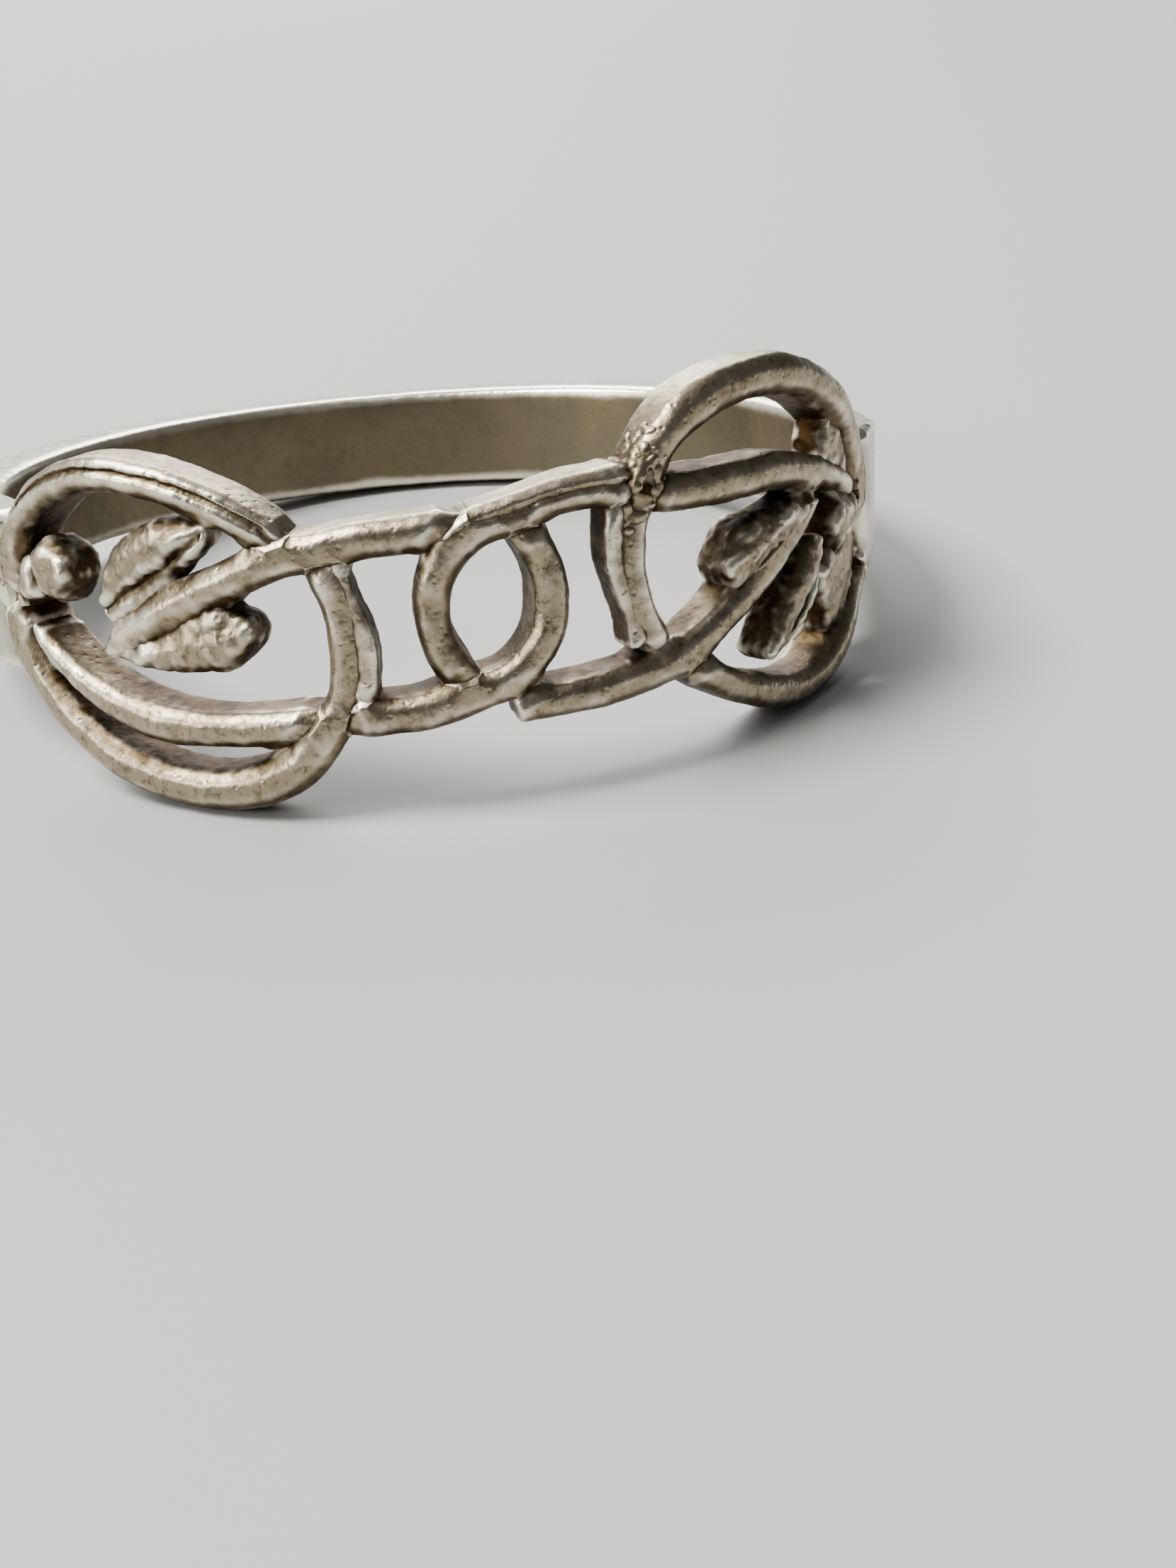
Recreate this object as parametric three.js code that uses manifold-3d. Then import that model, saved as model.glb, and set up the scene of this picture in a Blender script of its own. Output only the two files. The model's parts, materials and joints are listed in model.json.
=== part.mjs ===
// Openwork silver finger ring: a flat shank carries two oval roundels of wirework, joined across
// the front by two hooked wires that close into a small oval. Every piece is laid out flat in the
// pattern plane (s along the band, z across it), given its depth, then bent round the finger hole
// as on a mandrel. Millimetres; the right half is the left one turned half a turn about the front,
// but some of its wires were bent a little differently.
import * as THREE from 'three';
import { mergeVertices } from 'three/addons/utils/BufferGeometryUtils.js';
import Module from 'manifold-3d';

const wasm = await Module();
wasm.setup();

// Driving dimensions
const BORE_RADIUS = 8.65; // finger hole, 17.3 mm across
const BAND_DEPTH = 1.0; // from the bore to the outer face
const FACE_RADIUS = BORE_RADIUS + BAND_DEPTH;
const SHANK_BORE = 8.5; // the shank stands a little proud of the wirework, inside and outside
const SHANK_FACE = 9.7;
const SHANK_WIDTH = 2.35; // across the band, at the back of the finger
const SHANK_END_WIDTH = 2.95; // where it meets the roundels
const SHANK_LIFT = 0.1; // its middle stands this far above the middle of the small oval
const SHANK_FLARE = 5; // length over which it broadens towards each end, along the band
const SHANK_REACH = 9.75; // from the middle of the front to each end of the shank, along the band
const SHANK_STEPS = 96;
const JOINT_GAP = 0.04; // left at each soldered joint, so that the pieces stay separate
const FACE_CHAMFER = 0.28; // worn outer corners of a wire, as a share of its width or depth
const BACK_CHAMFER = 0.14; // its inner corners
const SHOULDER_PLACES = 6; // places along a hook from its roundel to the foot of the small oval
const TIP_SHARE = 0.22; // a tapered wire never thins below this share of its width
const REST_LEAN = -7.503; // degrees about X: the back of the shank drops to the table
const REST_TILT = 1.397; // degrees about Y: both roundels meet the table

// Finishes
const satinSilver = { color: 0xa9a59c, metalness: 1, roughness: 0.32 };
const agedSilver = { color: 0x8f8a80, metalness: 1, roughness: 0.48 };
const cutSilver = { color: 0x7d776c, metalness: 1, roughness: 0.6 };

// A route in the pattern plane as a smooth curve through a few places.
function route(places) {
  const points = places.map(([s, z]) => new THREE.Vector3(s, 0, z));
  return new THREE.CatmullRomCurve3(points, false, 'centripetal');
}

// Width profiles: share of the full width against the share of the length.
const even = () => 1;
const slimEnd = (t) => 1 - 0.24 * THREE.MathUtils.smoothstep(t, 0.6, 0.8);
const pointedTip = (share) => (t) => Math.min(1, TIP_SHARE + (1 - TIP_SHARE) * Math.sqrt(t / share));
const leafShape = (t) => Math.max(TIP_SHARE, Math.sin(Math.PI * Math.pow(t, 0.85)) ** 0.62);
const petalShape = (t) => {
  const opening = 1.25 * Math.pow(t, 0.75);
  const closing = 1.9 * Math.sqrt(1.02 - t);
  return Math.max(TIP_SHARE, Math.min(opening, closing, 1));
};

// The wirework of the left half, in the pattern plane.
const leftWires = {
  hoop: {
    places: [[-9.72, -0.12], [-9.36, -1.3], [-8.35, -2.22], [-6.85, -2.9], [-5.2, -3.1],
      [-3.75, -2.72], [-2.86, -1.75], [-2.59, -0.5], [-2.72, 0.45], [-3.05, 1.1]],
    width: 0.7, depth: BAND_DEPTH, steps: 62, profile: slimEnd,
  },
  top_arc: {
    places: [[-9.74, 0.3], [-9.35, 1.3], [-8.4, 2.06], [-7.2, 2.42], [-6, 2.34], [-5, 2.06],
      [-4, 1.54], [-3.3, 1.02], [-2.8, 0.62]],
    width: 0.58, depth: BAND_DEPTH, steps: 43, profile: even,
  },
  companion_arc: {
    places: [[-2.56, 1.06], [-2.42, 0.5], [-2.24, -0.1], [-2.17, -0.6], [-2.22, -1.15],
      [-2.36, -1.65]],
    width: 0.28, depth: 0.75, steps: 17, profile: even,
  },
  crescent: {
    places: [[-9.2, -0.4], [-8.7, -0.86], [-8, -1.3], [-7, -1.74], [-6, -1.94], [-5, -1.98],
      [-4, -1.93], [-2.9, -1.84]],
    width: 0.62, depth: BAND_DEPTH, steps: 30, profile: pointedTip(0.4),
  },
  hook: {
    places: [[-2.85, -1.79], [-1.4, -1.72], [-0.6, -1.56], [0.1, -1.36], [0.62, -1.0], [0.96, -0.5],
      [1.05, 0.05], [0.98, 0.55], [0.74, 1.05], [0.42, 1.42]],
    width: 0.6, depth: BAND_DEPTH, steps: 51, profile: even,
  },
  leaf_upper: {
    places: [[-7.05, -0.02], [-6.5, 0.72], [-5.75, 1.18], [-4.85, 1.4]],
    width: 1.02, depth: 0.8, steps: 18, profile: leafShape,
  },
  leaf_lower: {
    places: [[-7.05, -0.76], [-6.05, -0.62], [-5.1, -0.42], [-4.15, -0.16]],
    width: 1.12, depth: 0.85, steps: 18, profile: petalShape,
  },
  bud: {
    places: [[-9.55, 0.1], [-9.0, 0.42], [-8.5, 0.62], [-7.95, 0.74]],
    width: 1.2, depth: 0.9, steps: 12, profile: petalShape,
  },
  stem_rail: {
    places: [[-7.25, -0.62], [-6.2, -0.1], [-4.9, 0.5], [-3.7, 0.96], [-2.4, 1.24], [-1.2, 1.34],
      [-0.3, 1.4]],
    width: 0.58, depth: BAND_DEPTH, steps: 40, profile: pointedTip(0.22),
  },
};

// The right half before its half turn: the wires that were bent differently.
const rightPlaces = {
  hoop: [[-9.72, -0.12], [-9.4, -1.36], [-8.35, -2.38], [-6.85, -3.02], [-5.2, -3.15],
    [-3.75, -2.72], [-2.86, -1.75], [-2.59, -0.5], [-2.72, 0.45], [-3.05, 1.1]],
  top_arc: [[-9.9, 1.1], [-9.15, 1.98], [-8.2, 2.52], [-7, 2.8], [-5.8, 2.62], [-4.75, 2.24],
    [-3.75, 1.64], [-3.2, 1.2], [-2.75, 0.8]],
  crescent: [[-9.55, -0.48], [-9, -0.72], [-8, -1.05], [-7, -1.3], [-6, -1.46], [-5, -1.46],
    [-4, -1.46], [-2.9, -1.5]],
  leaf_upper: [[-7.35, 0.0], [-6.95, 0.72], [-6.35, 1.36], [-5.6, 1.88]],
  leaf_lower: [[-7.25, -0.8], [-6.4, -0.52], [-5.45, -0.2], [-4.55, 0.12]],
  bud: [[-9.6, -0.3], [-9.1, -0.14], [-8.6, -0.04], [-8.05, 0.0]],
  stem_rail: [[-7.4, -0.64], [-6.2, 0.0], [-4.9, 0.74], [-3.7, 1.36], [-2.4, 1.68], [-1.2, 1.78],
    [-0.3, 1.82]],
};
const rightWires = { ...leftWires };
for (const [name, places] of Object.entries(rightPlaces)) {
  rightWires[name] = { ...leftWires[name], places };
}

// Two plates close the right roundel's outer end between its wires.
const plate = { depth: 0.6, inset: 0.2, steps: 12, profile: even };
const rightPlates = {
  plate_upper: { ...plate, places: [[-9.7, -1.05], [-8.8, -1.48], [-7.9, -1.74]], width: 1.3 },
  plate_lower: { ...plate, places: [[-9.75, 0.7], [-8.8, 1.05], [-7.9, 1.35]], width: 1.5 },
};

// The section of a wire: its outer face at 0, its inner face at minus the depth.
function section(width, depth, grow) {
  const half = width / 2 + grow;
  const face = grow;
  const back = -depth - grow;
  const least = Math.min(width, depth);
  const faceCut = FACE_CHAMFER * least;
  const backCut = BACK_CHAMFER * least;
  const shape = new THREE.Shape();
  shape.moveTo(face, half - faceCut);
  shape.lineTo(face - faceCut, half);
  shape.lineTo(back + backCut, half);
  shape.lineTo(back, half - backCut);
  shape.lineTo(back, backCut - half);
  shape.lineTo(back + backCut, -half);
  shape.lineTo(face - faceCut, -half);
  shape.lineTo(face, faceCut - half);
  return shape;
}

// A wire swept flat in the pattern plane, with its in-plane width following the profile, and its
// face set in from the outer face.
function flatWire({ places, width, depth, steps, profile, inset = 0 }, grow) {
  const curve = route(places);
  const settings = { steps, extrudePath: curve, bevelEnabled: false };
  const geometry = new THREE.ExtrudeGeometry(section(width, depth, grow), settings);
  const centres = curve.getSpacedPoints(steps);
  const position = geometry.getAttribute('position');
  for (let i = 0; i < position.count; i++) {
    const s = position.getX(i);
    const z = position.getZ(i);
    const reach = centres.map((p) => Math.hypot(p.x - s, p.z - z));
    const nearest = reach.indexOf(Math.min(...reach));
    const share = profile(nearest / steps);
    position.setX(i, centres[nearest].x + (s - centres[nearest].x) * share);
    position.setZ(i, centres[nearest].z + (z - centres[nearest].z) * share);
  }
  geometry.translate(0, inset, 0);
  return geometry;
}

// Bends a flat piece round the finger hole; the pattern plane lies on the outer face.
function bend(geometry) {
  const position = geometry.getAttribute('position');
  for (let i = 0; i < position.count; i++) {
    const angle = position.getX(i) / FACE_RADIUS;
    const radius = FACE_RADIUS - position.getY(i);
    position.setX(i, radius * Math.sin(angle));
    position.setY(i, -radius * Math.cos(angle));
  }
  return geometry;
}

// Solids and meshes
function toSolid(geometry) {
  const bare = geometry.clone();
  bare.deleteAttribute('normal');
  bare.deleteAttribute('uv');
  const merged = mergeVertices(bare, 1e-4);
  const mesh = new wasm.Mesh({
    numProp: 3,
    vertProperties: merged.getAttribute('position').array,
    triVerts: new Uint32Array(merged.index.array),
  });
  return new wasm.Manifold(mesh);
}

const wireSolid = (wire, grow) => toSolid(bend(flatWire(wire, grow)));

// The same piece in the other half: half a turn about the front.
const halfTurn = (solid) => solid.rotate([0, 180, 0]);

// A piece with its neighbours, grown by the joint's gap, cut away; offcuts are dropped.
function fitted(solid, neighbours) {
  const cut = neighbours.reduce((rest, neighbour) => rest.subtract(neighbour), solid);
  return cut.decompose().sort((a, b) => b.volume() - a.volume())[0];
}

function toMesh(solid, name, finish) {
  const { vertProperties, triVerts } = solid.getMesh();
  const geometry = new THREE.BufferGeometry();
  geometry.setAttribute('position', new THREE.BufferAttribute(vertProperties, 3));
  geometry.setIndex(new THREE.BufferAttribute(triVerts, 1));
  geometry.computeVertexNormals();
  const mesh = new THREE.Mesh(geometry, new THREE.MeshStandardMaterial(finish));
  mesh.name = name;
  return mesh;
}

// The shank: a flat strip bent round the back of the finger, broader towards its ends.
function shankSolid() {
  const start = SHANK_REACH / FACE_RADIUS;
  const first = start - Math.PI / 2;
  const last = 1.5 * Math.PI - start;
  const outline = new THREE.Shape();
  outline.absarc(0, 0, SHANK_FACE, first, last, false);
  outline.absarc(0, 0, SHANK_BORE, last, first, true);
  const settings = { depth: 1, bevelEnabled: false, curveSegments: SHANK_STEPS };
  const geometry = new THREE.ExtrudeGeometry(outline, settings);
  geometry.translate(0, 0, -0.5);
  const position = geometry.getAttribute('position');
  for (let i = 0; i < position.count; i++) {
    const turn = Math.abs(Math.atan2(position.getX(i), -position.getY(i)));
    const along = (turn - start) * FACE_RADIUS;
    const broad = 1 - THREE.MathUtils.smoothstep(along, 0, SHANK_FLARE);
    const width = SHANK_WIDTH + (SHANK_END_WIDTH - SHANK_WIDTH) * broad;
    position.setZ(i, position.getZ(i) * width + SHANK_LIFT);
  }
  return toSolid(geometry);
}

// The other half's hook, and its stretch from the roundel to the foot of the small oval.
const { hook } = leftWires;
const shoulder = { ...hook, places: hook.places.slice(0, SHOULDER_PLACES), steps: 28 };
const otherShoulder = halfTurn(wireSolid(shoulder, JOINT_GAP));
const otherHook = halfTurn(wireSolid(hook, JOINT_GAP));

// One half's pieces, each cut back from the neighbours that it is soldered to.
function half(wires) {
  const plain = {};
  const grown = {};
  for (const [name, wire] of Object.entries(wires)) {
    plain[name] = wireSolid(wire, 0);
    grown[name] = wireSolid(wire, JOINT_GAP);
  }
  return {
    hoop: fitted(plain.hoop, [grown.stem_rail]),
    top_arc: fitted(plain.top_arc, [grown.stem_rail, grown.hoop]),
    companion_arc: fitted(plain.companion_arc, [grown.stem_rail, grown.hoop, grown.hook]),
    crescent: fitted(plain.crescent, [grown.hoop, grown.top_arc]),
    stem_rail: fitted(plain.stem_rail, [otherHook, grown.crescent]),
    hook: fitted(plain.hook, [grown.hoop, otherShoulder]),
    leaf_upper: fitted(plain.leaf_upper, [grown.stem_rail, grown.top_arc, grown.bud]),
    leaf_lower: fitted(plain.leaf_lower, [grown.stem_rail, grown.crescent, grown.leaf_upper]),
    bud: fitted(plain.bud, [grown.hoop, grown.top_arc, grown.crescent]),
  };
}

const finishes = { leaf_upper: cutSilver, leaf_lower: cutSilver, bud: cutSilver };
const ring = new THREE.Group();
for (const [name, solid] of Object.entries(half(leftWires))) {
  const label = name === 'hook' ? 'hook_lower' : `${name}_left`;
  ring.add(toMesh(solid, label, finishes[name] ?? agedSilver));
}
for (const [name, solid] of Object.entries(half(rightWires))) {
  const label = name === 'hook' ? 'hook_upper' : `${name}_right`;
  ring.add(toMesh(halfTurn(solid), label, finishes[name] ?? agedSilver));
}

const grownRight = (name) => wireSolid(rightWires[name], JOINT_GAP);
const plateSeats = ['hoop', 'top_arc', 'crescent', 'bud', 'leaf_upper', 'leaf_lower'].map(grownRight);
for (const [name, wire] of Object.entries(rightPlates)) {
  ring.add(toMesh(halfTurn(fitted(wireSolid(wire, 0), plateSeats)), `${name}_right`, agedSilver));
}

// The ends of the shank, cut back from the roundels' wires.
const ends = ['hoop', 'top_arc', 'bud', 'crescent'];
const leftEnds = ends.map((name) => wireSolid(leftWires[name], JOINT_GAP));
const rightEnds = ends.map((name) => halfTurn(grownRight(name)));
const plates = Object.values(rightPlates).map((wire) => halfTurn(wireSolid(wire, JOINT_GAP)));
const seats = [...leftEnds, ...rightEnds, ...plates];
ring.add(toMesh(fitted(shankSolid(), seats), 'shank', satinSilver));

// The ring lies as it settles on a table: on both roundels and one place at the back of the shank.
ring.rotation.set(THREE.MathUtils.degToRad(REST_LEAN), THREE.MathUtils.degToRad(REST_TILT), 0);
const extent = new THREE.Box3().setFromObject(ring, true);
const centre = extent.getCenter(new THREE.Vector3());
ring.position.set(-centre.x, -centre.y, -extent.min.z);
const part = new THREE.Group();
part.add(ring);
export default part;
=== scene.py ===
import json
import math
import zlib

import bmesh
import bpy
import numpy as np
from mathutils import Matrix, Vector, noise
from mathutils.bvhtree import BVHTree
from mathutils.kdtree import KDTree


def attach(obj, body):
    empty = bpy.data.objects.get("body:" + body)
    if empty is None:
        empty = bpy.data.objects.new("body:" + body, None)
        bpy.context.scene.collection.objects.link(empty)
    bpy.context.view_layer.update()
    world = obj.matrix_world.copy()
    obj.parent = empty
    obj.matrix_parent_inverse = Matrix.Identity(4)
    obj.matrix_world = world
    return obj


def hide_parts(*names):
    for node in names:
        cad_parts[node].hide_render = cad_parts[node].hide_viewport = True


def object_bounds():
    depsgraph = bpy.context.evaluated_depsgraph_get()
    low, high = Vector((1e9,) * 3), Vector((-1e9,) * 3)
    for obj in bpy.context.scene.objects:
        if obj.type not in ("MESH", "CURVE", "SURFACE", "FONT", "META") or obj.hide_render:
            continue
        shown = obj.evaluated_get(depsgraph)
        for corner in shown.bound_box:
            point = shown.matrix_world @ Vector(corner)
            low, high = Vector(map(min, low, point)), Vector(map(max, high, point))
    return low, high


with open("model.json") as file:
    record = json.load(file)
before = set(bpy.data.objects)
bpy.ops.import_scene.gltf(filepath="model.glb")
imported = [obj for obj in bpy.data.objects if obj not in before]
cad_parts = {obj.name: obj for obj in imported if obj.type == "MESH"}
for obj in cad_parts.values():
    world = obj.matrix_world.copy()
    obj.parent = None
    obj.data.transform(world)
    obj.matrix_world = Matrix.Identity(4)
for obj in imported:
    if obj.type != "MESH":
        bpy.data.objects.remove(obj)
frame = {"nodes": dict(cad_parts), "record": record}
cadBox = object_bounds()
mm = 0.001  # shapes are worked in millimetres, then scaled to metres

camera = dict(
    aim=(2.627, -3.477, -3.179),  # mm, a point on the middle of the view
    distance=38.387,  # mm
    azimuth=-11.43,  # degrees round the table, 0 looks along +Y
    elevation=27.69,  # degrees, as the roll is
    roll=-3.43,
    lens=40.69,  # mm, as the sensor is
    sensor=36,
    clip=(0.001, 20),  # metres
)


def placeCamera(c):
    az, el, roll = (math.radians(c[key]) for key in ("azimuth", "elevation", "roll"))
    back = Vector((math.sin(az) * math.cos(el), -math.cos(az) * math.cos(el), math.sin(el)))
    level = Vector((math.cos(az), math.sin(az), 0))
    up = back.cross(level)
    right = level * math.cos(roll) + up * math.sin(roll)
    turn = Matrix((right, back.cross(right), back)).transposed().to_4x4()
    data = bpy.data.cameras.new("ringCamera")
    data.lens = c["lens"]
    data.sensor_width = c["sensor"]
    data.clip_start, data.clip_end = c["clip"]
    holder = bpy.data.objects.new("ringCamera", data)
    holder.matrix_world = Matrix.Translation((Vector(c["aim"]) + back * c["distance"]) * mm) @ turn
    bpy.context.scene.collection.objects.link(holder)
    bpy.context.scene.camera = holder


placeCamera(camera)
print("camera placed")

ring = dict(  # mm
    bandMiddle=9.1,  # from the finger's axis to the middle of the band
    bandLift=0.1,  # of the band above the middle of the front
    faceRadius=9.65,  # where the front is measured when it is unrolled
)

# The ring's own axes, from the two edges of the band at the back of the finger.
mounts = {mount["name"]: mount for mount in frame["record"]["mounts"]}
axis = np.array(mounts["band_upper_edge"]["axis"])
behind = np.array((0, axis[2], -axis[1])) / math.hypot(axis[1], axis[2])
across = np.cross(behind, axis)
edges = [np.array(mounts[name]["pos_m"]) / mm for name in ("band_lower_edge", "band_upper_edge")]
ringCentre = sum(edges) / 2 - behind * ring["bandMiddle"] - axis * ring["bandLift"]
squared = np.stack([across, behind, axis], 1)  # turns the ring square to the grid of its skin


def unrolled(points):  # distances round the ring and along the finger, in mm
    offset = points - ringCentre
    side, depth = offset @ across, offset @ behind
    return ring["faceRadius"] * np.arctan2(side, -depth), offset @ axis


def cadShape(node):  # a CAD node's corners in mm, and its faces
    mesh = frame["nodes"][node].data
    return pointsOf(mesh) / mm, facesOf(mesh)


def pointsOf(mesh):
    points = np.empty(len(mesh.vertices) * 3)
    mesh.vertices.foreach_get("co", points)
    return points.reshape(-1, 3)


def normalsOf(mesh):
    normals = np.empty(len(mesh.vertices) * 3, np.float32)
    mesh.vertices.foreach_get("normal", normals)
    return normals.reshape(-1, 3).astype(float)


def facesOf(mesh):
    return [tuple(face.vertices) for face in mesh.polygons]


def edgesOf(mesh):
    pairs = np.empty(len(mesh.edges) * 2, np.int32)
    mesh.edges.foreach_get("vertices", pairs)
    return pairs.reshape(-1, 2)


def setPoints(mesh, points):
    mesh.vertices.foreach_set("co", points.astype(np.float32).ravel())
    mesh.update()


def insideCad(points):  # nothing stands out of the CAD model's box
    low, high = (np.array(corner) / mm for corner in cadBox)
    return np.clip(points, low, high)


def joined(shapes):
    points, faces, start = [], [], 0
    for somePoints, someFaces in shapes:
        points.append(somePoints)
        faces += [tuple(i + start for i in face) for face in someFaces]
        start += len(somePoints)
    return np.concatenate(points), faces


def searchTree(points, faces):
    return BVHTree.FromPolygons([tuple(point) for point in points], faces)


def meshFrom(name, points, faces):
    mesh = bpy.data.meshes.new(name)
    mesh.from_pydata([tuple(point) for point in points], [], faces)
    mesh.update()
    return mesh


def evenSkin(points, faces, voxel):  # the same form as one closed skin of small even quads
    rough = bpy.data.objects.new("roughForm", meshFrom("roughForm", points @ squared, faces))
    bpy.context.scene.collection.objects.link(rough)
    remesh = rough.modifiers.new("evenSkin", "REMESH")
    remesh.mode = "VOXEL"
    remesh.voxel_size = voxel
    remesh.adaptivity = 0
    skin = bpy.data.meshes.new_from_object(rough.evaluated_get(bpy.context.evaluated_depsgraph_get()))
    roughMesh = rough.data
    bpy.data.objects.remove(rough)
    bpy.data.meshes.remove(roughMesh)
    setPoints(skin, pointsOf(skin) @ squared.T)
    return skin


def neighbourMean(values, pairs):
    count = len(values)
    total = np.zeros(values.shape)
    for column in range(values.shape[1]):
        total[:, column] = np.bincount(pairs[:, 0], values[pairs[:, 1], column], count)
        total[:, column] += np.bincount(pairs[:, 1], values[pairs[:, 0], column], count)
    return total / np.maximum(np.bincount(pairs.ravel(), minlength=count), 1)[:, None]


def wearDown(mesh, rounds):  # rounds the edges off as years on a finger do
    points, pairs = pointsOf(mesh), edgesOf(mesh)
    for _ in range(rounds):
        points += 0.5 * (neighbourMean(points, pairs) - points)
    setPoints(mesh, points)


def handWork(points, seed, waves):  # uneven surface, from pairs of size and height in mm
    shift = Vector((seed % 97, seed % 89, seed % 83))  # so that no two pieces have the same waves
    heights = np.zeros(len(points))
    for size, height in waves:
        heights += [height * noise.noise(Vector(point) / size + shift) for point in points]
    return heights


# How each kind of piece is worked: voxel, swell, flow of solder and waves in mm, wear in rounds.
wireWork = dict(voxel=0.045, wear=9, swell=0.03, flow=0.32,
                waves=((1.7, 0.05), (0.5, 0.024), (0.17, 0.007)))
thinWork = dict(voxel=0.04, wear=5, swell=0.025, flow=0.28,
                waves=((1.4, 0.02), (0.4, 0.016), (0.15, 0.01)))
leafWork = dict(voxel=0.042, wear=18, swell=0.05, flow=0.3,
                waves=((0.9, 0.05), (0.32, 0.035), (0.14, 0.02)))
bandWork = dict(voxel=0.07, wear=16, swell=0.03, flow=0.34,
                waves=((5.0, 0.03), (1.2, 0.008), (0.35, 0.004)))
workOf = dict(hoop=wireWork, top_arc=wireWork, crescent=wireWork, stem_rail=wireWork, hook=wireWork,
              companion_arc=thinWork, leaf_upper=leafWork, leaf_lower=leafWork, bud=leafWork,
              plate=leafWork, shank=bandWork)

# Creases in a leaf's face, at a place off its middle: across=0 runs along the leaf, 1 across it; mm.
creases = dict(leaf_upper=dict(across=0, place=-0.2, width=0.1, depth=0.15),
               leaf_lower=dict(across=0, place=0.2, width=0.1, depth=0.05),
               bud=dict(across=1, place=-0.1, width=0.1, depth=0.14))

# Grooves along a wire's face, at a place below its upper edge; mm.
grooves = dict(top_arc_left=dict(place=0.15, width=0.05, depth=0.11),
               hook_upper=dict(place=0.17, width=0.05, depth=0.06))

marking = dict(
    gain=1.6,  # how soon a mark is at its full depth as the surface turns outward
    rimFacing=0.75,  # how far a surface turns up along the finger to count as a wire's upper edge
)


def kindOf(node, table):
    return next((table[kind] for kind in table if node.startswith(kind)), None)


def pressed(points, normals, distance, mark):  # sinks the face where the distance is the mark's place
    nearness = np.exp(-((distance - mark["place"]) / mark["width"]) ** 2)
    outward = points - ringCentre - np.outer((points - ringCentre) @ axis, axis)
    outward /= np.linalg.norm(outward, axis=1)[:, None]
    face = np.clip((normals * outward).sum(1) * marking["gain"], 0, 1)
    return points - outward * (mark["depth"] * nearness * face)[:, None]


def pressCrease(points, normals, crease):
    along, height = unrolled(points)
    flat = np.stack([along, height], 1) - (along.mean(), height.mean())
    shortAndLong = np.linalg.eigh(flat.T @ flat)[1]
    line = shortAndLong[:, crease["across"]]  # distances are measured along this
    line = line if line[1 - crease["across"]] > 0 else -line
    return pressed(points, normals, flat @ line, crease)


def pressGroove(points, normals, groove):
    along, height = unrolled(points)
    flat = np.stack([along, height, 0 * height], 1)
    rim = KDTree(len(flat))
    for i in np.flatnonzero(normals @ axis > marking["rimFacing"]):
        rim.insert(flat[i], i)
    rim.balance()
    return pressed(points, normals, np.array([rim.find(place)[2] for place in flat]), groove)


jointPull = dict(
    gain=1.8,  # how soon the pull is full inside the flow's reach
    share=0.62,  # of the gap that is closed from each side
    close=0.03,  # mm more, so that small gaps close with an overlap
    most=1.3,  # times the gap
)


def flowToJoints(points, neighbours, flow):  # draws the ends out to meet what they are soldered to
    shift = np.zeros(points.shape)
    for i, point in enumerate(points):
        nearest, _, _, gap = neighbours.find_nearest(Vector(point), flow)
        if gap:
            reach = min(1, jointPull["gain"] * (1 - gap / flow))
            pull = reach * (jointPull["share"] + jointPull["close"] / gap)
            shift[i] = (np.array(nearest) - point) * min(pull, jointPull["most"])
    return shift


def shapePiece(node, neighbours, work):
    mesh = evenSkin(*cadShapes[node], work["voxel"])
    wearDown(mesh, work["wear"])
    points, normals = pointsOf(mesh), normalsOf(mesh)
    for marks, press in ((creases, pressCrease), (grooves, pressGroove)):
        if kindOf(node, marks):
            setPoints(mesh, press(points, normals, kindOf(node, marks)))
            points, normals = pointsOf(mesh), normalsOf(mesh)
    points += flowToJoints(points, neighbours, work["flow"])
    rise = work["swell"] + handWork(points, zlib.crc32(node.encode()), work["waves"])
    points += normals * rise[:, None]
    setPoints(mesh, insideCad(points))
    return mesh


nodes = sorted(frame["nodes"])
cadShapes = {node: cadShape(node) for node in nodes}
pieces = {}
for node in nodes:
    others = searchTree(*joined([cadShapes[other] for other in nodes if other != node]))
    pieces[node] = shapePiece(node, others, kindOf(node, workOf))
print("wires, leaves and band shaped,", sum(len(mesh.vertices) for mesh in pieces.values()), "points")

# Beads of solder at the joints: the piece that they sit on, the piece beside it, and sizes in mm.
solder = dict(
    solder_hook_upper=dict(on="hoop_right", beside="hook_upper", beads=80, spread=1.1, size=(0.065, 0.14)),
    solder_band_left=dict(on="shank", beside="top_arc_left", beads=30, spread=0.7, size=(0.07, 0.14)),
)
beadWork = dict(
    reach=1.0,  # mm, how far off the piece beside may be
    jointDepth=0.08,  # mm, points this much farther off than the closest one give the joint's place
    facing=0.15,  # beads sit only where the surface turns outward by more than this
    crowding=1.1,  # beads are likelier near the joint; nearer to 1 leaves fewer at the rim
    sink=0.3,  # of a bead's size, as stretch and height are
    stretch=(0.7, 1.3),  # least and most
    height=0.65,
    voxel=0.025,  # mm
    wear=2,
)


def placeBeads(points, normals, name, s):  # where the beads sit, and the random numbers that shape them
    beside = searchTree(*cadShapes[s["beside"]])
    gaps = [beside.find_nearest(Vector(point), beadWork["reach"])[3] or beadWork["reach"] for point in points]
    gaps = np.array(gaps)
    joint = points[gaps <= gaps.min() + beadWork["jointDepth"]].mean(0)
    outward = points - ringCentre
    facing = (normals * outward).sum(1) / np.linalg.norm(outward, axis=1)
    distance = np.linalg.norm(points - joint, axis=1)
    choice = np.flatnonzero((distance < s["spread"]) & (facing > beadWork["facing"]))
    weight = beadWork["crowding"] - distance[choice] / s["spread"]
    random = np.random.default_rng(zlib.crc32(name.encode()))
    count = min(s["beads"], len(choice))
    return random.choice(choice, count, replace=False, p=weight / weight.sum()), random


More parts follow.
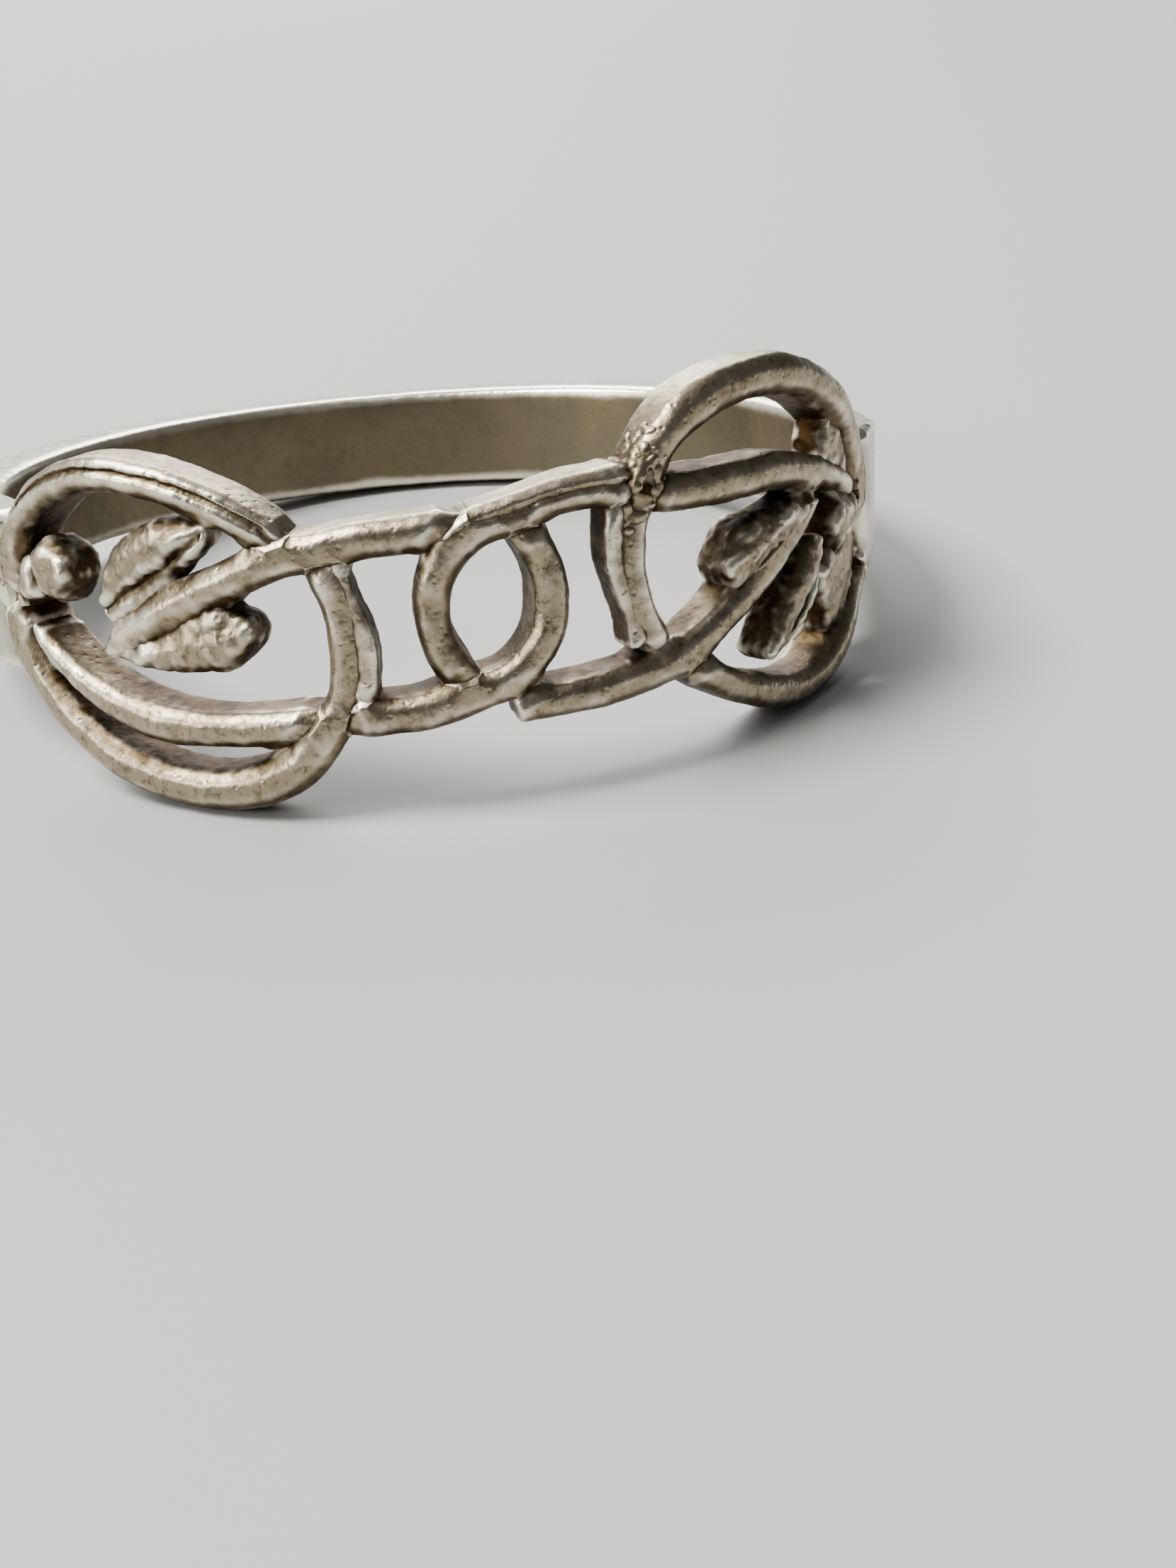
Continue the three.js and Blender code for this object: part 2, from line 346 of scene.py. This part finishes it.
def beadCluster(name, s):
    ground = pieces[s["on"]]
    points, normals = pointsOf(ground), normalsOf(ground)
    chosen, random = placeBeads(points, normals, name, s)
    bead = bmesh.new()
    for i in chosen:
        size = random.uniform(*s["size"])
        turn = Vector(normals[i]).to_track_quat("Z", "Y").to_matrix().to_4x4()
        place = Matrix.Translation(points[i] - normals[i] * size * beadWork["sink"]) @ turn
        length = size * random.uniform(*beadWork["stretch"])
        squash = Matrix.Diagonal((size, length, size * beadWork["height"], 1))
        bmesh.ops.create_icosphere(bead, subdivisions=2, radius=1, matrix=place @ squash)
    rough = bpy.data.meshes.new(name)
    bead.to_mesh(rough)
    bead.free()
    mesh = evenSkin(pointsOf(rough), facesOf(rough), beadWork["voxel"])
    bpy.data.meshes.remove(rough)
    wearDown(mesh, beadWork["wear"])
    setPoints(mesh, insideCad(pointsOf(mesh)))
    return mesh


for name, spot in solder.items():
    pieces[name] = beadCluster(name, spot)

tarnish = dict(
    rays=18,
    reach=1.5,  # mm
    start=0.015,  # mm off the surface
    fade=0.5,  # share of the shade that is lost when what hides a point is at full reach
    spread=2,  # rounds of smoothing
)
rubbing = dict(
    rounds=12,  # of smoothing, for the form that the rubbed edges stand out from
    share=0.6,  # how far each round goes towards the neighbours' mean
    height=0.03,  # mm of standing out that counts as 1
    spread=2,  # rounds of smoothing of the result
)


def dome(count):  # even directions about +Z, closer together towards it
    rows = np.arange(count) + 0.5
    lift = np.sqrt(1 - rows / count)
    turn = rows * math.pi * (3 - math.sqrt(5))
    flat = np.sqrt(1 - lift ** 2)
    return np.stack([flat * np.cos(turn), flat * np.sin(turn), lift], 1)


def smoothed(values, pairs, rounds):
    values = values[:, None]
    for _ in range(rounds):
        values = 0.5 * values + 0.5 * neighbourMean(values, pairs)
    return values[:, 0]


def recessOf(mesh, surroundings, t):  # 0 in the open, towards 1 deep between pieces
    points, normals = pointsOf(mesh), normalsOf(mesh)
    helper = np.where(np.abs(normals[:, 2:]) > 0.8, [[1.0, 0, 0]], [[0, 0, 1.0]])  # never along the normal
    side = np.cross(normals, helper)
    side /= np.linalg.norm(side, axis=1)[:, None] + 1e-9
    other = np.cross(normals, side)
    hidden = np.zeros(len(points))
    starts = [Vector(point) for point in points + normals * t["start"]]
    for way in dome(t["rays"]):
        for i, aim in enumerate((side * way[0] + other * way[1] + normals * way[2]).tolist()):
            distance = surroundings.ray_cast(starts[i], aim, t["reach"])[3]
            if distance is not None:
                hidden[i] += 1 - t["fade"] * distance / t["reach"]
    return smoothed(hidden / t["rays"], edgesOf(mesh), t["spread"])


def wornOf(mesh, r):  # high on outward edges and bumps, low in hollows
    points, normals, pairs = pointsOf(mesh), normalsOf(mesh), edgesOf(mesh)
    soft = points.copy()
    for _ in range(r["rounds"]):
        soft = (1 - r["share"]) * soft + r["share"] * neighbourMean(soft, pairs)
    return smoothed(((points - soft) * normals).sum(1), pairs, r["spread"]) / r["height"]


def inwardOf(mesh):  # 1 on surfaces that face the finger, 0 on the sides, -1 on the outer face
    points, normals = pointsOf(mesh), normalsOf(mesh)
    inward = ringCentre - points
    inward += np.outer((points - ringCentre) @ axis, axis)
    inward /= np.linalg.norm(inward, axis=1)[:, None]
    return (inward * normals).sum(1)


def store(mesh, name, values):
    attribute = mesh.attributes.new(name, "FLOAT", "POINT")
    attribute.data.foreach_set("value", values.astype(np.float32))


surroundings = searchTree(*joined([(pointsOf(mesh), facesOf(mesh)) for mesh in pieces.values()]))
for mesh in pieces.values():
    inward = inwardOf(mesh)
    store(mesh, "recess", recessOf(mesh, surroundings, tarnish))
    store(mesh, "worn", wornOf(mesh, rubbing))
    store(mesh, "inside", np.clip(inward, 0, 1))
    store(mesh, "side", 1 - np.abs(inward))
    # Surfaces that face the table are darkened with painted shade from this mask.
    store(mesh, "under", np.clip(-normalsOf(mesh)[:, 2], 0, 1))  # 1 where it faces the table
print("tarnish and wear placed")

# Aged silver, with painted shade on surfaces that face the table. Patterns are scale, detail and roughness,
# and scales are per mm, apart from the scratches.
# From and To say where a finish starts and where it is full. The bumpHeight is in metres.
wireSilver = dict(
    # grey, tarnish and umber colour the tarnish in hollows, inside and on flanks, and also the painted shade
    # on surfaces that face the table.
    silver=(0.34, 0.282, 0.188, 1), grey=(0.115, 0.086, 0.048, 1), tarnish=(0.022, 0.013, 0.005, 1),
    umber=(0.075, 0.041, 0.016, 1), rubbed=(0.98, 0.91, 0.75, 1), speck=(0.07, 0.052, 0.03, 1),
    cloud=(0.9, 4.0, 0.55), blot=(2.43, 5.0, 0.6), grain=(6.5, 5.0, 0.7), scratches=(2.0, 6.0, 0.6),
    cloudPower=0.6, agedFrom=0.04, agedTo=0.30, darkFrom=0.24, darkTo=0.5,
    # The darkening of surfaces that face the table is painted shade; the darkening inside and on flanks is
    # tarnish.
    insideTarnish=0.3, sideTarnish=0.14, underTarnish=0.42, umberFrom=0.4, umberTo=0.6,
    speckPower=0.75, speckFrom=0.48, speckTo=0.68,
    wornFrom=0.2, wornTo=0.95, wornBlots=0.6, wornPower=0.8,
    roughness=0.31, agedRough=0.12, darkRough=0.18, grainRough=0.3, wornSmooth=0.1,
    pitScale=5.5, pitTo=0.35, pitDepth=0.6, scratch=0.0, scratchStretch=9.0,
    bump=0.62, bumpHeight=0.00002,
)
leafSilver = dict(
    wireSilver, silver=(0.32, 0.268, 0.182, 1), grey=(0.11, 0.083, 0.048, 1),
    grain=(5.5, 5.0, 0.7), pitScale=4.5, roughness=0.36, bump=0.95,
)
bandSilver = dict(
    # These colours are tarnish, and also painted shade on surfaces that face the table.
    wireSilver, silver=(0.50, 0.47, 0.40, 1), grey=(0.17, 0.148, 0.098, 1),
    tarnish=(0.13, 0.115, 0.072, 1), umber=(0.19, 0.145, 0.085, 1),
    cloud=(0.22, 4.0, 0.55), blot=(0.594, 5.0, 0.6), grain=(4.0, 5.0, 0.7), cloudPower=0.3,
    # The darkening of surfaces that face the table is painted shade.
    insideTarnish=0.36, sideTarnish=0.0, underTarnish=0.2, speckPower=0.15, scratch=0.5,
    roughness=0.26, bump=0.25,
)


def silverFinish(name, finish):
    material = bpy.data.materials.new(name)
    material.use_nodes = True
    tree = material.node_tree
    tree.nodes.clear()

    def add(kind, inputs=None, **settings):
        node = tree.nodes.new(kind)
        for key, value in settings.items():
            setattr(node, key, value)
        for socket, value in (inputs or {}).items():
            if isinstance(value, bpy.types.NodeSocket):
                tree.links.new(value, node.inputs[socket])
            else:
                node.inputs[socket].default_value = value
        return node

    def maths(operation, first, second, clamp=False):
        inputs = {0: first, 1: second}
        return add("ShaderNodeMath", inputs, operation=operation, use_clamp=clamp).outputs[0]

    def plus(value, pattern, power):  # the value, with a share of a pattern added
        return maths("ADD", value, maths("MULTIPLY", pattern, power))

    def centred(pattern):
        return maths("SUBTRACT", pattern, 0.5)

    def mix(share, first, second):
        return add("ShaderNodeMix", {0: share, 6: first, 7: second}, data_type="RGBA").outputs[2]

    def rise(value, low, high):
        inputs = {0: value, 1: low, 2: high}
        return add("ShaderNodeMapRange", inputs, interpolation_type="SMOOTHSTEP").outputs[0]

    def noiseOf(vector, pattern):
        inputs = dict(zip(("Scale", "Detail", "Roughness"), finish[pattern]), Vector=vector)
        return add("ShaderNodeTexNoise", inputs).outputs["Fac"]

    def attribute(name):
        return add("ShaderNodeAttribute", attribute_name=name).outputs["Fac"]

    metres = add("ShaderNodeTexCoord").outputs["Object"]
    inMm = {0: metres, 1: (1 / mm, 1 / mm, 1 / mm)}
    place = add("ShaderNodeVectorMath", inMm, operation="MULTIPLY").outputs[0]
    cloud = noiseOf(place, "cloud")
    blot = noiseOf(place, "blot")
    grain = noiseOf(place, "grain")
    pits = add("ShaderNodeTexVoronoi", {"Vector": place, "Scale": finish["pitScale"]}).outputs["Distance"]

    # Scratches run round the ring, so they are laid out by angle, height and reach.
    x, y, z = add("ShaderNodeSeparateXYZ", {0: place}).outputs
    reach = maths("SQRT", maths("ADD", maths("MULTIPLY", x, x), maths("MULTIPLY", y, y)), 0.0)
    height = maths("MULTIPLY", z, finish["scratchStretch"])
    layout = {0: maths("ARCTAN2", x, y), 1: height, 2: reach}
    scratches = noiseOf(add("ShaderNodeCombineXYZ", layout).outputs[0], "scratches")

    # Tarnish gathers in recesses, inside the ring and on flanks; surfaces that face the table get painted
    # shade.
    shade = plus(attribute("recess"), centred(cloud), finish["cloudPower"])
    for where in ("inside", "side", "under"):
        shade = plus(shade, attribute(where), finish[where + "Tarnish"])
    # Greying and darkening follow the tarnish, and also the painted shade on surfaces that face the table.
    agedAndShaded = rise(shade, finish["agedFrom"], finish["agedTo"])
    dark = rise(shade, finish["darkFrom"], finish["darkTo"])
    worn = plus(attribute("worn"), centred(blot), finish["wornBlots"])
    bright = maths("MULTIPLY", rise(worn, finish["wornFrom"], finish["wornTo"]), finish["wornPower"])

    speckled = maths("MULTIPLY", rise(grain, finish["speckFrom"], finish["speckTo"]), finish["speckPower"])
    deep = mix(rise(blot, finish["umberFrom"], finish["umberTo"]), finish["tarnish"], finish["umber"])
    colour = mix(agedAndShaded, finish["silver"], finish["grey"])
    colour = mix(speckled, colour, finish["speck"])
    colour = mix(dark, colour, deep)
    colour = mix(bright, colour, finish["rubbed"])

    rough = plus(finish["roughness"], agedAndShaded, finish["agedRough"])
    rough = plus(rough, dark, finish["darkRough"])
    rough = plus(rough, centred(grain), finish["grainRough"])
    rough = maths("SUBTRACT", rough, maths("MULTIPLY", bright, finish["wornSmooth"]), clamp=True)

    relief = plus(grain, rise(pits, 0.0, finish["pitTo"]), finish["pitDepth"])
    relief = plus(relief, scratches, finish["scratch"])
    bump = add("ShaderNodeBump", {"Height": relief, "Strength": finish["bump"],
                                  "Distance": finish["bumpHeight"]})
    shader = add("ShaderNodeBsdfPrincipled", {"Base Color": colour, "Roughness": rough, "Metallic": 1.0,
                                              "Normal": bump.outputs[0]})
    add("ShaderNodeOutputMaterial", {0: shader.outputs[0]})
    return material


silvers = {
    "aged_silver_wire": silverFinish("agedSilverWire", wireSilver),
    "textured_silver": silverFinish("texturedSilver", leafSilver),
    "worn_silver_band": silverFinish("wornSilverBand", bandSilver),
}
slotOf = {entry["node"]: entry["material_slot"] for entry in frame["record"]["subparts"]}
solderSlot = "aged_silver_wire"

for name, mesh in pieces.items():
    slot = slotOf.get(name, solderSlot)
    mesh.transform(Matrix.Scale(mm, 4))
    mesh.polygons.foreach_set("use_smooth", [True] * len(mesh.polygons))
    mesh.materials.clear()
    mesh.materials.append(silvers[slot])
    piece = bpy.data.objects.new(name if name in solder else "silver_" + name, mesh)
    bpy.context.scene.collection.objects.link(piece)
    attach(piece, "root")
    if name in slotOf:
        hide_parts(name)
print("silver given to", len(pieces), "pieces")

studio = dict(
    table=8.0,  # metres across
    tableColour=(0.42, 0.42, 0.415, 1),
    tableRoughness=0.85,
    room=(0.12, 0.12, 0.125, 1),
    lights=dict(  # place and size in metres, power in watts
        skyBox=dict(place=(-0.15, 0.01, 0.25), size=0.12, power=1.85, colour=(1.0, 0.975, 0.93)),
        sideBox=dict(place=(-0.26, -0.08, 0.11), size=0.08, power=0.36, colour=(1.0, 0.96, 0.90)),
        backBox=dict(place=(0.02, 0.33, 0.19), size=0.26, power=1.9, colour=(1.0, 0.98, 0.95)),
    ),
    sun=dict(towards=(0.5, -0.35, -0.8), strength=1.5, angle=100),  # soft, spread over 100 degrees
)


def layTable(s):
    half = s["table"] / 2
    corners = [(-half, -half, 0), (half, -half, 0), (half, half, 0), (-half, half, 0)]
    mesh = meshFrom("table", corners, [(0, 1, 2, 3)])
    paint = bpy.data.materials.new("paleTable")
    paint.use_nodes = True
    shader = paint.node_tree.nodes["Principled BSDF"]
    shader.inputs["Base Color"].default_value = s["tableColour"]
    shader.inputs["Roughness"].default_value = s["tableRoughness"]
    mesh.materials.append(paint)
    table = bpy.data.objects.new("table", mesh)
    bpy.context.scene.collection.objects.link(table)


def paintRoom(s):
    room = bpy.data.worlds.new("softRoom")
    bpy.context.scene.world = room
    room.use_nodes = True
    room.node_tree.nodes["Background"].inputs[0].default_value = s["room"]


def hangLamp(name, light):  # a square lamp that points at the ring
    data = bpy.data.lights.new(name, "AREA")
    data.size = light["size"]
    data.energy = light["power"]
    data.color = light["colour"]
    lamp = bpy.data.objects.new(name, data)
    lamp.location = light["place"]
    lamp.rotation_euler = (-Vector(light["place"])).to_track_quat("-Z", "Y").to_euler()
    lamp.visible_camera = False
    bpy.context.scene.collection.objects.link(lamp)


def hangSun(light):
    data = bpy.data.lights.new("softSun", "SUN")
    data.energy = light["strength"]
    data.angle = math.radians(light["angle"])
    sun = bpy.data.objects.new("softSun", data)
    sun.rotation_euler = Vector(light["towards"]).to_track_quat("-Z", "Y").to_euler()
    bpy.context.scene.collection.objects.link(sun)


layTable(studio)
paintRoom(studio)
for name, light in studio["lights"].items():
    hangLamp(name, light)
hangSun(studio["sun"])
print("table and lights ready")

bpy.context.view_layer.update()
